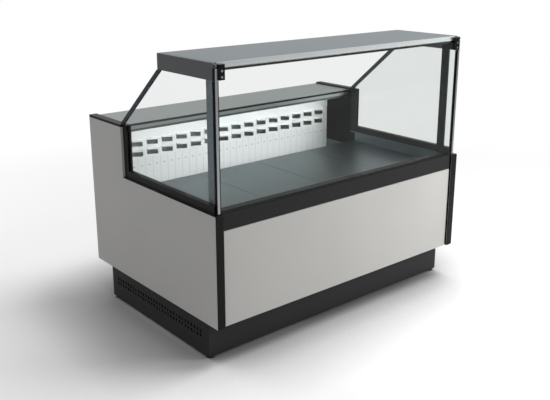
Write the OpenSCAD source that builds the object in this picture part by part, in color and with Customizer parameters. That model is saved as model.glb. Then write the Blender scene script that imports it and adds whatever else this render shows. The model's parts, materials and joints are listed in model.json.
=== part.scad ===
// Refrigerated serve-over display counter with a lift-up front glass, open on the service side.
// Front faces -Y, +X is to the customer's right, +Z is up; the origin is on the floor under the middle.
// Depths named "from the front" are measured back from the front edge of the end panels.

/* [Overall] */
// Width over the end panels
body_w = 1560; // [1400:10:1900]
// Depth of the end panels
body_d = 1050; // [1030:10:1150]
// Height of the top shelf above the floor
total_h = 1295; // [1250:5:1400]

/* [Body] */
// Height of the panels' lower edge above the floor
body_bottom = 178; // [165:1:195]
// Height of the bumper's top above the floor
low_top = 682; // [670:1:720]
// Height of the uprights above the floor
upright_z = 935; // [915:1:980]
// Step of the worktop below the uprights
worktop_drop = 8; // [4:1:14]
// Thickness of the worktop
worktop_t = 30; // [20:1:40]
// Depth of the worktop
worktop_d = 282; // [260:1:295]
// Depth of an upright
upright_d = 306; // [290:1:315]
// Thickness of an end panel
end_t = 40; // [36:1:50]
// Step of the front panel and bumper behind the end panels
setback = 12; // [8:1:16]
// Step of the rear panel ahead of the end panels' rear edge
rear_step = 20; // [18:1:30]
// Thickness of the front panel
front_panel_t = 18; // [12:1:22]
// Height of the bumper
bumper_h = 74; // [68:1:84]
// Wall of the bumper's hollow section
bumper_wall = 3; // [2:0.5:5]
// Rounding of the bumper's upper front edge
bumper_round = 8; // [3:1:12]
// Thickness of sheet-metal panels
sheet = 2; // [1.5:0.5:3]

/* [Edging] */
// Thickness of the flat edging strips
edging_t = 3; // [2:0.5:5]
// Height of the strip on top of an upright
cap_h = 12; // [8:1:18]
// Step of the glass rail behind the end panel's outer face
trim_inset = 12; // [8:1:15]
// Width of the trim on an upright's front edge
trim_w = 36; // [28:1:44]
// Height of the side rail that holds the glass
rail_h = 34; // [26:1:44]
// Depth of the glass groove in the rail and trim
groove_d = 14; // [8:1:20]

/* [Plinth and frame] */
// Step of the plinth behind the front
plinth_front = 91; // [80:1:110]
// Step of the plinth ahead of the rear
plinth_rear_step = 120; // [100:1:140]
// Step of the plinth in from the end panels' outer face
plinth_side = 13; // [8:1:20]
// Gap between plinth and floor
floor_gap = 12; // [8:1:16]
// Width of a vent slot
slot_w = 12; // [8:1:16]
// Height of a vent slot
slot_h = 17; // [12:1:22]
// Distance between neighbouring vent slots
slot_pitch = 24; // [20:1:30]
// Height of the lower row of vent slots
slot_z = 84; // [70:1:92]
// Side of the frame's square channels
tube = 40; // [30:1:45]
// Wall of those channels
tube_wall = 3; // [2:0.5:4]
// Height of the frame above the floor
frame_z = 45; // [40:1:60]
// Radius of a foot's pad
foot_pad_r = 19; // [14:1:20]
// Height of a foot's pad
foot_pad_h = 12; // [10:1:16]
// Radius of a foot's stem
foot_stem_r = 6; // [5:0.5:8]

/* [Tub and air path] */
// Height of the tub's underside above the floor
tub_bottom = 360; // [355:1:380]
// Thickness of the tub's insulated wall
tub_wall = 55; // [45:1:60]
// Thickness of each skin of that wall
tub_skin = 1.5; // [1:0.5:3]
// Depth of the deck below the bumper's top
deck_drop = 53; // [46:1:58]
// Thickness of a deck plate
deck_t = 3; // [2:0.5:5]
// Gap between neighbouring deck plates
deck_gap = 2; // [1:0.5:4]
// Depth of the recess behind the deck
recess_d = 227; // [220:1:245]
// Width of the front air grille
grille_w = 62; // [50:1:80]
// Depth of the air duct behind the slotted wall
duct_d = 25; // [15:1:35]
// Height of the recess floor below the deck
recess_drop = 86; // [70:1:95]
// Width of an air slot in the rear wall
air_slot_w = 66; // [30:1:70]
// Height of an air slot in the rear wall
air_slot_h = 42; // [20:1:46]
// Distance between neighbouring air slots
air_slot_pitch = 89; // [75:1:110]
// Height of the lower row of air slots above the deck
air_slot_rise = 70; // [50:1:90]

/* [Glass and shelf] */
// Step of the glass in from the end panels' outer face
glass_inset = 20; // [18:1:22]
// Thickness of the side glass
side_glass_t = 6; // [5:1:8]
// Thickness of the front glass
pane_t = 8; // [6:1:10]
// Front glass face, from the front
pane_front = 14; // [12:1:18]
// Gap between front glass and bumper
pane_gap = 2; // [1:0.5:4]
// Width of the profile on a front glass edge
profile_w = 12; // [10:1:14]
// Wall of that profile
profile_wall = 2; // [1.5:0.5:2.5]
// Depth of a post
post_d = 43; // [36:1:50]
// Post's front face, from the front
post_front = 58; // [50:1:66]
// Thickness of a post
post_t = 12; // [8:1:16]
// Height of a shelf bracket
bracket_h = 70; // [55:1:80]
// Shelf's rear edge, from the front
shelf_rear = 430; // [380:1:470]
// Thickness of the shelf
shelf_t = 22; // [16:1:28]
// Height of the black rail under the shelf's front edge
shelf_rail_h = 11; // [8:1:16]
// Depth of that rail
shelf_rail_d = 14; // [10:1:20]
// Step of the sloping frame's foot behind an upright's front
slope_step = 26; // [22:1:40]
// Level width of the sloping frame
slope_w = 29; // [24:1:36]
// Wall of the sloping frame beside the glass
slope_wall = 3; // [2:0.5:4]

/* [Hinges] */
// Height of the hinge axis below the shelf's top
hinge_drop = 11; // [10:0.5:14]
// Radius of the hinge pin
pin_r = 4; // [3:0.5:5]
// Radius of the hinge ear
ear_r = 8; // [7:0.5:9]
// Thickness of the hinge ear
ear_t = 8; // [5:1:10]
// Width of a glass clamp
clamp_w = 30; // [24:1:40]
// Height of a glass clamp below the axis
clamp_h = 56; // [40:1:70]
// Plate of a clamp on the outside of the glass
clamp_out = 8; // [6:1:10]
// Plate of a clamp on the inside of the glass
clamp_in = 6; // [4:1:8]

/* [Cooling unit] */
// Radius of an evaporator fan
evap_fan_r = 50; // [40:1:54]
// Place of the evaporator fans either side of the middle
evap_fan_x = 300; // [200:10:350]
// Half length of the evaporator
evap_hw = 420; // [380:10:440]
// Radius of the condenser fan
cond_fan_r = 98; // [80:1:105]
// Middle of the condenser, in from the right end panel
cond_in = 420; // [400:5:440]
// Width of the condenser
cond_w = 360; // [300:10:380]
// Middle of the compressor, beside the condenser's middle
comp_beside = 380; // [340:5:420]
// Radius of the compressor's shell
comp_r = 75; // [60:1:85]
// Height of the compressor's shell
comp_h = 140; // [120:1:150]
// Radius of the suction pipe
suction_r = 8; // [6:0.5:10]
// Radius of the liquid and discharge pipes
liquid_r = 5; // [4:0.5:6]
// Radius of the drain's bore
drain_r = 12; // [9:0.5:14]

/* [Service side] */
// Middle of the control panel, in from the left end panel
control_in = 250; // [180:5:320]
// Height of the control panel's middle above the floor
control_z = 280; // [260:1:300]
// Width of the control panel
control_w = 140; // [130:1:180]
// Height of the control panel
control_h = 80; // [70:1:100]
// Radius of a button
button_r = 5; // [4:0.5:6]
// Travel of a button
button_travel = 1.5; // [1:0.25:2]
// Width of the light switch's rocker
rocker_w = 20; // [16:1:24]
// Tilt of the rocker from its middle
rocker_tilt = 10; // [6:1:12]
// Height of the service grille
service_h = 142; // [110:1:150]
// Number of bars in the service grille
service_bars = 9; // [5:1:11]
// Radius of the power inlet's thread
inlet_r = 10; // [8:0.5:12]

/* [Hidden] */
$fn = 48;

// Running clearance of pins and shafts, fit clearance of glass and panels
run_clear = 0.05;
fit_clear = 0.3;
panel_clear = 1;

// Main planes across the counter, from the front and above the floor
hw = body_w / 2;
inner_hw = hw - end_t;
lined_hw = inner_hw - sheet;
front_hw = lined_hw - panel_clear;
bumper_bottom = low_top - bumper_h;
tub_front = setback + front_panel_t;
tub_in_front = tub_front + tub_wall;
rear_face = body_d - rear_step;
tub_rear = rear_face - sheet;
tub_in_rear = tub_rear - tub_wall;
tub_floor = tub_bottom + tub_wall;
worktop_top = upright_z - worktop_drop;
worktop_bottom = worktop_top - worktop_t;
worktop_front = body_d - worktop_d;
upright_front = body_d - upright_d;
rail_top = low_top + rail_h;
trim_front = upright_front - trim_w;
deck_z = low_top - deck_drop;
deck_seat = deck_z - deck_t;
deck_front = tub_in_front + panel_clear + grille_w + deck_gap;
recess_z = deck_z - recess_drop;
air_wall_back = tub_in_rear - duct_d;
air_wall_front = air_wall_back - sheet;
deck_rear = air_wall_front - recess_d;

// Frame and plinth
plinth_hw = hw - plinth_side;
frame_hw = plinth_hw - sheet;
plinth_rear = body_d - plinth_rear_step;
frame_front = plinth_front + sheet;
frame_rear = plinth_rear - sheet;
frame_top = frame_z + tube;
tray_t = 2;
tray_lap = 25;
tray_top = frame_top + tray_t;
foot_bore_depth = tube - 8;
foot_nut_h = 6;

// Glass
glass_x = [-hw + glass_inset, -hw + glass_inset + side_glass_t];
glass_seat = rail_top - groove_d;
pane_back = pane_front + pane_t + profile_wall;
rail_front = pane_back + 2;
glass_front = rail_front + 2;
glass_rear = trim_front + groove_d - fit_clear;
bracket_bottom = total_h - bracket_h;
slope_foot = upright_front + slope_step;
pane_hw = hw - glass_inset;
pane_bottom = low_top + pane_gap;

// Hinge
axis_t = pane_front + pane_t / 2;
axis_z = total_h - hinge_drop;
pane_top = axis_z - ear_r - 2;
clamp_cap = 6;
clamp_reach = norm([pane_t / 2 + clamp_in, clamp_cap]);
shelf_front = axis_t + clamp_reach + 1.5;
clamp_x = -pane_hw + max(profile_w, ear_t) + panel_clear;

// Evaporator and its fans under the recess
evap_lift = 10;
evap_gap = 15;
evap_z = [tub_floor + evap_lift, recess_z - sheet - evap_lift / 2];
fan_z = (tub_floor + recess_z - sheet) / 2;
evap_can_l = 26;
evap_can_r = 24;
evap_can_t = [deck_rear + 2 * deck_gap, deck_rear + 2 * deck_gap + evap_can_l];
evap_shaft_r = 3;
fan_plate_t = evap_can_t[1] + 21;
evap_hub_t = [evap_can_t[1] + 8, fan_plate_t + 14];
evap_hub_r = 16;
evap_t = [fan_plate_t + 2 * evap_gap, air_wall_front - evap_gap];

// Condensing unit in the base
cond_d = 60;
cond_top_gap = 22;
cond_rear_gap = 70;
cond_t = [plinth_rear - cond_rear_gap - cond_d, plinth_rear - cond_rear_gap];
cond_z = [tray_top, tub_bottom - cond_top_gap];
cond_mid_z = (cond_z[0] + cond_z[1]) / 2;
cond_x = inner_hw - cond_in;
cond_x0 = cond_x - cond_w / 2;
cond_x1 = cond_x + cond_w / 2;
shroud_d = 10;
shroud_t = cond_t[0] - shroud_d;
cond_can_l = 50;
cond_can_r = 38;
cond_can_t = [shroud_t - 2 * cond_can_l, shroud_t - cond_can_l];
cond_shaft_r = 4;
cond_hub_r = 26;
comp_x = cond_x - comp_beside;
comp_t = cond_t[0] - 3.2 * comp_r;
comp_plate_lap = 25;
bay_margin = 60;
bay_x = [comp_x - comp_r - comp_plate_lap - bay_margin - 10, cond_x1 + bay_margin];
comp_foot_h = 12;
comp_base = tray_top + comp_foot_h;
comp_top = comp_base + 4 + comp_h;
port_h = 12;
port_top = comp_top + port_h;
port_gap = 40;
drain_x = -inner_hw + 180;
drain_t = (tub_in_front + tub_in_rear) / 2;
pipe_through_x = cond_x1 + bay_margin - evap_gap;
suction_x = evap_hw + bay_margin;
suction_t = plinth_rear - 38;
liquid_t = (cond_t[0] + cond_t[1]) / 2;

// Service side
rear_panel_z = [body_bottom, worktop_bottom];
service_z = [body_bottom + 20, body_bottom + 20 + service_h];
bezel_t = 6;
housing_d = 45;
control_x0 = -inner_hw + control_in - control_w / 2;
button_x = control_x0 + 74;
button_dz = 12;
rocker_x = control_x0 + 110;
rocker_h = 28;
rocker_axis_t = rear_face - 1;
inlet_x = (cond_x1 + inner_hw) / 2 - 20;
inlet_z = body_bottom + 52;
screw_r = 2.5;
screw_head_r = 5;
screw_places = [
    for (x = [-inner_hw + 20, 0, inner_hw - 20], z = [tub_bottom + 30, worktop_bottom - 25]) [x, z]
];

// Depth from the front as a Y coordinate
function ty(t) = t - body_d / 2;

// Box between two planes across, two depths from the front and two heights
module slab(x, t, z) {
    translate([x[0], ty(t[0]), z[0]])
        cube([x[1] - x[0], t[1] - t[0], z[1] - z[0]]);
}

// Side outline of depths and heights, drawn out across the counter
module prism(x, points) {
    translate([x[0], 0, 0]) rotate([90, 0, 90]) linear_extrude(x[1] - x[0])
        polygon([for (p = points) [ty(p[0]), p[1]]]);
}

// Round bars along the three axes
module bar_x(x, t, z, r) {
    translate([x[0], ty(t), z]) rotate([0, 90, 0]) cylinder(r = r, h = x[1] - x[0]);
}

module bar_y(x, t, z, r) {
    translate([x, ty(t[0]), z]) rotate([-90, 0, 0]) cylinder(r = r, h = t[1] - t[0]);
}

module bar_z(x, t, z, r) {
    translate([x, ty(t), z[0]]) cylinder(r = r, h = z[1] - z[0]);
}

// Left-hand pieces are modelled at -X and mirrored for the right
module on_right() {
    mirror([1, 0, 0]) children();
}

// Feet and frame
function foot_x() = frame_hw - tube / 2;
function foot_t(rear) = rear ? frame_rear - tube / 2 : frame_front + tube / 2;

module base_frame() {
    foot_block = 1.5 * tube;
    top_rail_z = tub_bottom - tube / 2;
    color("#4a4d50") difference() {
        union() {
            for (t = [frame_front, frame_rear - tube])
                slab([-frame_hw, frame_hw], [t, t + tube], [frame_z, frame_top]);
            for (x = [-frame_hw, bay_x[0], bay_x[1] - tube, frame_hw - tube])
                slab([x, x + tube], [frame_front, frame_rear], [frame_z, frame_top]);
            for (x = [-inner_hw, inner_hw - tube], t = [frame_front, frame_rear - tube])
                slab([x, x + tube], [t, t + tube], [frame_top - 1, tub_bottom]);
            for (x = [-inner_hw, inner_hw - tube])
                slab([x, x + tube], [frame_front, frame_rear], [top_rail_z, tub_bottom]);
            slab(bay_x, [frame_front + tray_lap, frame_rear - tray_lap], [frame_top - 0.5, tray_top]);
        }
        for (t = [frame_front, frame_rear - tube])
            slab([-frame_hw + foot_block, frame_hw - foot_block], [t + tube_wall, t + tube - tube_wall],
                 [frame_z - 1, frame_top - tube_wall]);
        for (x = [-frame_hw, bay_x[0], bay_x[1] - tube, frame_hw - tube])
            slab([x + tube_wall, x + tube - tube_wall], [frame_front + foot_block, frame_rear - foot_block],
                 [frame_z - 1, frame_top - tube_wall]);
        for (x = [-inner_hw, inner_hw - tube]) {
            slab([x + tube_wall, x + tube - tube_wall], [frame_front + tube_wall, frame_rear - tube_wall],
                 [frame_top, top_rail_z]);
            slab([x + tube_wall, x + tube - tube_wall], [frame_front + tube, frame_rear - tube],
                 [top_rail_z - 1, tub_bottom - tube_wall]);
        }
        for (x = [-foot_x(), foot_x()], rear = [false, true])
            bar_z(x, foot_t(rear), [frame_z - 1, frame_z + foot_bore_depth], foot_stem_r + run_clear);
    }
}

module foot(x, t) {
    color("#2a2a2c") {
        bar_z(x, t, [0, foot_pad_h], foot_pad_r);
        bar_z(x, t, [0, frame_z + foot_bore_depth - 3], foot_stem_r);
        translate([x, ty(t), frame_z - foot_nut_h])
            cylinder(r = foot_stem_r * 1.9, h = foot_nut_h, $fn = 6);
    }
}

// Plinth
module plinth_front_panel() {
    color("#2e2e30") slab([-plinth_hw, plinth_hw], [plinth_front, frame_front], [floor_gap, body_bottom]);
}

module plinth_rear_panel() {
    color("#2e2e30") slab([-plinth_hw, plinth_hw], [frame_rear, plinth_rear], [floor_gap, body_bottom]);
}

module plinth_side_panel() {
    slot_margin = 45;
    run = frame_rear - frame_front - 2 * slot_margin;
    count = floor(run / slot_pitch);
    first = frame_front + (frame_rear - frame_front - (count - 1) * slot_pitch - slot_w) / 2;
    row_pitch = slot_h + 7;
    color("#2e2e30") difference() {
        slab([-plinth_hw, -frame_hw], [frame_front, frame_rear], [floor_gap, body_bottom]);
        for (i = [0 : count - 1], row = [0, 1])
            slab([-plinth_hw - 1, -frame_hw + 1],
                 [first + i * slot_pitch, first + i * slot_pitch + slot_w],
                 [slot_z + row * row_pitch, slot_z + row * row_pitch + slot_h]);
    }
}

// Outer panels
module end_panel() {
    color("#8c8c8a") prism([-hw, -inner_hw], [
        [edging_t, body_bottom], [body_d, body_bottom], [body_d, upright_z - cap_h],
        [upright_front, upright_z - cap_h], [upright_front, low_top - edging_t],
        [edging_t, low_top - edging_t]
    ]);
}

module end_edging() {
    full_x = [-hw, -inner_hw];
    trim_x = [-hw + trim_inset, -inner_hw];
    groove_x = [glass_x[0] - fit_clear, glass_x[1] + fit_clear];
    color("#1c1c1e") difference() {
        union() {
            slab(full_x, [0, edging_t], [body_bottom, low_top]);
            slab(full_x, [0, upright_front], [low_top - edging_t, low_top]);
            slab(trim_x, [rail_front, upright_front], [low_top - edging_t, rail_top]);
            slab(trim_x, [trim_front, upright_front], [low_top, upright_z]);
            slab(full_x, [upright_front, body_d], [upright_z - cap_h, upright_z]);
        }
        slab(groove_x, [glass_front, glass_rear + fit_clear], [glass_seat, upright_z + 1]);
    }
}

module front_panel() {
    reveal = 2;
    top = bumper_bottom - reveal;
    color("#c9c7c4") difference() {
        slab([-front_hw, front_hw], [setback, tub_front], [body_bottom, top]);
        slab([-front_hw + sheet, front_hw - sheet], [setback + sheet, tub_front + 1],
             [body_bottom + sheet, top - sheet]);
    }
}

module bumper() {
    ledge_w = 12;
    ledge_t = 4;
    span = tub_in_front - setback;
    color("#2b2a2c") translate([-front_hw, 0, 0]) rotate([90, 0, 90]) linear_extrude(2 * front_hw)
        difference() {
            union() {
                translate([ty(setback), bumper_bottom]) square([span, bumper_h]);
                translate([ty(tub_in_front) - 1, deck_seat - ledge_t]) square([ledge_w + 1, ledge_t]);
            }
            translate([ty(setback) + bumper_wall, bumper_bottom + bumper_wall])
                square([span - 2 * bumper_wall, bumper_h - 2 * bumper_wall - bumper_round + bumper_wall]);
            translate([ty(setback), low_top - bumper_round]) difference() {
                translate([-1, 0]) square([bumper_round + 1, bumper_round + 1]);
                translate([bumper_round, 0]) circle(r = bumper_round);
            }
        }
}

// Side outline of the tub's wall, drawn in by a given step
function tub_outline(step) = [
    [tub_front + step, tub_bottom + step], [tub_rear - step, tub_bottom + step],
    [tub_rear - step, worktop_bottom - step], [tub_in_rear + step, worktop_bottom - step],
    [tub_in_rear + step, tub_floor - step], [tub_in_front - step, tub_floor - step],
    [tub_in_front - step, bumper_bottom - step], [tub_front + step, bumper_bottom - step]
];

// Double-skinned tub, closed at its ends by the end panels, with holes for pipes, drain and panel screws
module insulated_tub() {
    hole_clear = 3;
    color("#b9c0c4") difference() {
        prism([-inner_hw, inner_hw], tub_outline(0));
        prism([-inner_hw - 1, inner_hw + 1], tub_outline(tub_skin));
        bar_z(drain_x, drain_t, [tub_bottom - 1, tub_floor + 1], drain_r + 4 + fit_clear);
        bar_z(pipe_through_x, liquid_t, [tub_bottom - 1, tub_floor + 1], liquid_r + hole_clear);
        bar_z(suction_x, suction_t, [tub_bottom - 1, tub_floor + 1], suction_r + hole_clear);
        for (p = screw_places)
            bar_y(p[0], [tub_rear - 25, tub_rear + 1], p[1], screw_r + run_clear);
    }
}

module side_liner() {
    step_z = deck_z - 29;
    color("#9aa5ab") prism([-inner_hw, -lined_hw], [
        [tub_in_front, tub_floor], [tub_in_rear, tub_floor], [tub_in_rear, step_z],
        [trim_front, step_z], [trim_front, low_top], [tub_in_front, low_top]
    ]);
}

module drain_pipe() {
    flange_r = drain_r + 16;
    flange_t = 3;
    color("#d8d8d6") difference() {
        union() {
            bar_z(drain_x, drain_t, [tub_floor, tub_floor + flange_t], flange_r);
            bar_z(drain_x, drain_t, [tub_bottom - 60, tub_floor + flange_t], drain_r + 4);
        }
        bar_z(drain_x, drain_t, [tub_bottom - 61, tub_floor + flange_t + 1], drain_r);
    }
}

// Deck
module deck_supports() {
    rail_d = 28;
    support_h = 25;
    leg = 20;
    leg_x = lined_hw / 2;
    color("#8d979c") for (t = [deck_front - 12, deck_rear - rail_d]) {
        difference() {
            slab([-lined_hw, lined_hw], [t, t + rail_d], [deck_seat - support_h, deck_seat]);
            slab([-lined_hw - 1, lined_hw + 1], [t + tube_wall, t + rail_d - tube_wall],
                 [deck_seat - support_h - 1, deck_seat - tube_wall]);
        }
        for (x = [-leg_x, 0, leg_x])
            slab([x - leg / 2, x + leg / 2], [t + 4, t + 4 + leg], [tub_floor, deck_seat - 1]);
    }
}

module deck_plate(index) {
    count = 4;
    pitch = (2 * front_hw + deck_gap) / count;
    x0 = -front_hw + index * pitch;
    color("#93a0a6") slab([x0, x0 + pitch - deck_gap], [deck_front, deck_rear], [deck_seat, deck_z]);
}

module return_grille() {
    border = 14;
    opening_w = 24;
    grille_hw = inner_hw - post_t - panel_clear;
    grille_t = [tub_in_front + panel_clear, tub_in_front + panel_clear + grille_w];
    count = floor((2 * grille_hw - 2 * border) / 40);
    pitch = (2 * grille_hw - 2 * border) / count;
    color("#9aa5ab") difference() {
        slab([-grille_hw, grille_hw], grille_t, [deck_seat, deck_z]);
        for (i = [0 : count - 1])
            slab([-grille_hw + border + (i + 0.5) * pitch - opening_w / 2,
                  -grille_hw + border + (i + 0.5) * pitch + opening_w / 2],
                 [grille_t[0] + border, grille_t[1] - border], [deck_seat - 1, deck_z + 1]);
    }
}

// Slotted white wall folded into the recess floor
module slotted_rear_wall() {
    count = floor(2 * front_hw / air_slot_pitch);
    row_gap = 10;
    row_pitch = air_slot_h + row_gap;
    inlet_count = 8;
    inlet_pitch = 2 * evap_hw / inlet_count;
    cut_t = [air_wall_front - 1, air_wall_back + 1];
    color("#f2f5f6") difference() {
        union() {
            slab([-front_hw, front_hw], [air_wall_front, air_wall_back], [tub_floor, worktop_bottom]);
            slab([-front_hw, front_hw], [deck_rear + deck_gap, air_wall_back],
                 [recess_z - sheet, recess_z]);
        }
        for (i = [0 : count - 1], row = [0, 1]) {
            x = (i - (count - 1) / 2) * air_slot_pitch;
            z = deck_z + air_slot_rise + row * row_pitch;
            slab([x - air_slot_w / 2, x + air_slot_w / 2], cut_t, [z, z + air_slot_h]);
        }
        for (i = [0 : inlet_count - 1]) {
            x = -evap_hw + (i + 0.5) * inlet_pitch;
            slab([x - inlet_pitch * 0.4, x + inlet_pitch * 0.4], cut_t, evap_z);
        }
    }
}

// Folded box of sheet, with its front nose closed at both ends
module worktop() {
    nose = 60;
    color("#c3c8ca") {
        difference() {
            slab([-inner_hw, inner_hw], [worktop_front, body_d], [worktop_bottom, worktop_top]);
            slab([-inner_hw - 1, inner_hw + 1], [worktop_front + sheet, body_d - sheet],
                 [worktop_bottom + sheet, worktop_top - sheet]);
        }
        for (x = [-inner_hw, inner_hw - sheet])
            slab([x, x + sheet], [worktop_front + 1, worktop_front + nose], [worktop_bottom + 1, worktop_top - 1]);
    }
}

module worktop_light() {
    light_d = 26;
    light_h = 12;
    color("#f6fbff") slab([-lined_hw + 20, lined_hw - 20],
        [worktop_front + 16, worktop_front + 16 + light_d], [worktop_bottom - light_h, worktop_bottom]);
}

// Evaporator and its fans
module evaporator() {
    fins = 21;
    fin_t = 2;
    pitch = (2 * evap_hw - fin_t) / (fins - 1);
    pipe_r = 5;
    height = evap_z[1] - evap_z[0];
    color("#b8bec2") {
        for (i = [1 : fins - 2])
            slab([-evap_hw + i * pitch, -evap_hw + i * pitch + fin_t], evap_t, evap_z);
        for (x = [-evap_hw, evap_hw - fin_t])
            slab([x, x + fin_t], evap_t, [tub_floor, evap_z[1]]);
        for (row = [0.25, 0.75], column = [0.2, 0.5, 0.8])
            bar_x([-evap_hw, evap_hw], evap_t[0] + column * (evap_t[1] - evap_t[0]),
                  evap_z[0] + row * height, pipe_r);
    }
}

module evaporator_fan_plate() {
    color("#a8b0b4") difference() {
        slab([-front_hw, front_hw], [fan_plate_t, fan_plate_t + sheet], [tub_floor, recess_z - sheet]);
        for (x = [-evap_fan_x, evap_fan_x])
            bar_y(x, [fan_plate_t - 1, fan_plate_t + sheet + 1], fan_z, evap_fan_r + 5);
    }
}

// Motor can with three arms and posts that reach the plate behind it
module fan_motor(x, z, can_t, can_r, plate_t, reach, shaft_r) {
    arm = 6;
    difference() {
        union() {
            bar_y(x, can_t, z, can_r);
            for (a = [90, 210, 330]) translate([x, 0, z]) rotate([0, a, 0]) {
                translate([0, ty(can_t[1] - arm), -arm / 2]) cube([reach + arm / 2, arm, arm]);
                translate([reach, ty(can_t[1] - arm), 0]) rotate([-90, 0, 0])
                    cylinder(r = arm / 2, h = plate_t - can_t[1] + arm);
            }
        }
        bar_y(x, [can_t[1] - 14, can_t[1] + 1], z, shaft_r + run_clear);
    }
}

// Fan with flat pitched blades on a hub, and a shaft that enters the motor
module fan_rotor(x, z, hub_t, hub_r, blade_r, blade_w, shaft_t, shaft_r) {
    blades = 5;
    blade_thick = 2;
    pitch_angle = 32;
    mid = (hub_t[0] + hub_t[1]) / 2;
    bar_y(x, hub_t, z, hub_r);
    bar_y(x, [shaft_t, hub_t[0] + 1], z, shaft_r);
    for (i = [0 : blades - 1])
        translate([x, ty(mid), z]) rotate([0, i * 360 / blades, 0]) rotate([pitch_angle, 0, 0])
            translate([hub_r - 2, -blade_thick / 2, -blade_w / 2])
                cube([blade_r - hub_r + 2, blade_thick, blade_w]);
}

module evaporator_fan_motors() {
    color("#3a3d40") for (x = [-evap_fan_x, evap_fan_x])
        fan_motor(x, fan_z, evap_can_t, evap_can_r, fan_plate_t, evap_fan_r + 9, evap_shaft_r);
}

module evaporator_fan(x) {
    blade_w = evap_fan_r * 0.48;
    color("#55595c")
        fan_rotor(x, fan_z, evap_hub_t, evap_hub_r, evap_fan_r, blade_w, evap_can_t[1] - 12, evap_shaft_r);
}

// Condensing unit on the tray
module compressor() {
    edge = 30;
    foot_r = 9;
    plate = [2 * (comp_r + comp_plate_lap), 2 * comp_r];
    color("#1f2123") {
        translate([comp_x, ty(comp_t), comp_base + 4]) rotate_extrude() {
            square([comp_r - edge, comp_h]);
            translate([0, edge]) square([comp_r, comp_h - 2 * edge]);
            for (y = [edge, comp_h - edge]) translate([comp_r - edge, y]) intersection() {
                circle(r = edge);
                translate([0, -edge]) square([edge, 2 * edge]);
            }
        }
        slab([comp_x - plate[0] / 2, comp_x + plate[0] / 2],
             [comp_t - plate[1] / 2, comp_t + plate[1] / 2], [comp_base, comp_base + 5]);
        for (x = [-1, 1], y = [-1, 1])
            bar_z(comp_x + x * (plate[0] / 2 - foot_r), comp_t + y * (plate[1] / 2 - foot_r),
                  [tray_top, comp_base + 1], foot_r);
        for (x = [-port_gap / 2, port_gap / 2])
            bar_z(comp_x + x, comp_t, [comp_top - 6, port_top], suction_r + 2);
    }
}

module condenser() {
    fins = 15;
    fin_t = 2;
    frame_t = 3;
    pitch = (cond_w - fin_t) / (fins - 1);
    pipe_r = 5;
    color("#9da3a6") difference() {
        union() {
            for (i = [0 : fins - 1])
                slab([cond_x0 + i * pitch, cond_x0 + i * pitch + fin_t], cond_t, cond_z);
            for (z = [cond_z[0], cond_z[1] - frame_t])
                slab([cond_x0, cond_x1], [shroud_t, cond_t[1]], [z, z + frame_t]);
            for (x = [cond_x0, cond_x1 - frame_t])
                slab([x, x + frame_t], [shroud_t, cond_t[1]], cond_z);
            slab([cond_x0, cond_x1], [shroud_t, shroud_t + frame_t], cond_z);
            for (row = [0.15, 0.38, 0.62, 0.85], column = [0.3, 0.7])
                bar_x([cond_x0, cond_x1], cond_t[0] + column * (cond_t[1] - cond_t[0]),
                      cond_z[0] + row * (cond_z[1] - cond_z[0]), pipe_r);
        }
        bar_y(cond_x, [shroud_t - 1, shroud_t + frame_t + 1], cond_mid_z, cond_fan_r + 6);
    }
}

module condenser_fan_motor() {
    color("#2c2f31")
        fan_motor(cond_x, cond_mid_z, cond_can_t, cond_can_r, shroud_t, cond_fan_r + 11, cond_shaft_r);
}

module condenser_fan() {
    blade_w = cond_fan_r * 0.31;
    color("#6a6e70") fan_rotor(cond_x, cond_mid_z, [cond_can_t[1] + 10, shroud_t], cond_hub_r, cond_fan_r,
                               blade_w, cond_can_t[1] - 12, cond_shaft_r);
}

// Round pipe through a list of corner points, with fuller brazed joints at the bends
module pipe(points, r) {
    joint_swell = 1.2;
    for (i = [0 : len(points) - 2]) {
        step = points[i + 1] - points[i];
        length = norm(step);
        turn = [0, acos(step[2] / length), atan2(step[1], step[0])];
        translate(points[i]) rotate(turn) cylinder(r = r, h = length);
    }
    for (i = [1 : 1 : len(points) - 2]) translate(points[i]) sphere(r = r * joint_swell);
}

module refrigerant_pipes() {
    suction_z = fan_z + 22;
    liquid_z = fan_z - 22;
    low_z = port_top + 44;
    discharge_z = port_top + 18;
    color("#b0703c") {
        pipe([[evap_hw, ty(suction_t), suction_z], [suction_x, ty(suction_t), suction_z],
              [suction_x, ty(suction_t), low_z], [comp_x - port_gap / 2, ty(suction_t), low_z],
              [comp_x - port_gap / 2, ty(comp_t), low_z], [comp_x - port_gap / 2, ty(comp_t), port_top]],
             suction_r);
        pipe([[cond_x1, ty(liquid_t), cond_mid_z], [pipe_through_x, ty(liquid_t), cond_mid_z],
              [pipe_through_x, ty(liquid_t), liquid_z], [evap_hw, ty(liquid_t), liquid_z]], liquid_r);
        pipe([[comp_x + port_gap / 2, ty(comp_t), port_top], [comp_x + port_gap / 2, ty(comp_t), discharge_z],
              [comp_x + port_gap / 2, ty(liquid_t), discharge_z], [cond_x0, ty(liquid_t), discharge_z]],
             liquid_r);
    }
}

// Service side
module rear_panel() {
    housing_x = [control_x0 + 10 - panel_clear, control_x0 + control_w - 10 + panel_clear];
    housing_z = [control_z - control_h / 2 + 10 - panel_clear, control_z + control_h / 2 - 10 + panel_clear];
    cut_t = [tub_rear - 1, rear_face + 1];
    color("#8f9496") difference() {
        slab([-inner_hw, inner_hw], [tub_rear, rear_face], rear_panel_z);
        slab([cond_x0, cond_x1], cut_t, service_z);
        slab(housing_x, cut_t, housing_z);
        bar_y(inlet_x, cut_t, inlet_z, inlet_r + fit_clear);
        for (p = screw_places)
            bar_y(p[0], cut_t, p[1], screw_r + run_clear);
    }
}

module rear_panel_screws() {
    head_h = 3;
    color("#c8c8c8") for (p = screw_places) {
        bar_y(p[0], [tub_rear - 22, rear_face + 1], p[1], screw_r);
        bar_y(p[0], [rear_face, rear_face + head_h], p[1], screw_head_r);
    }
}

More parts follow.
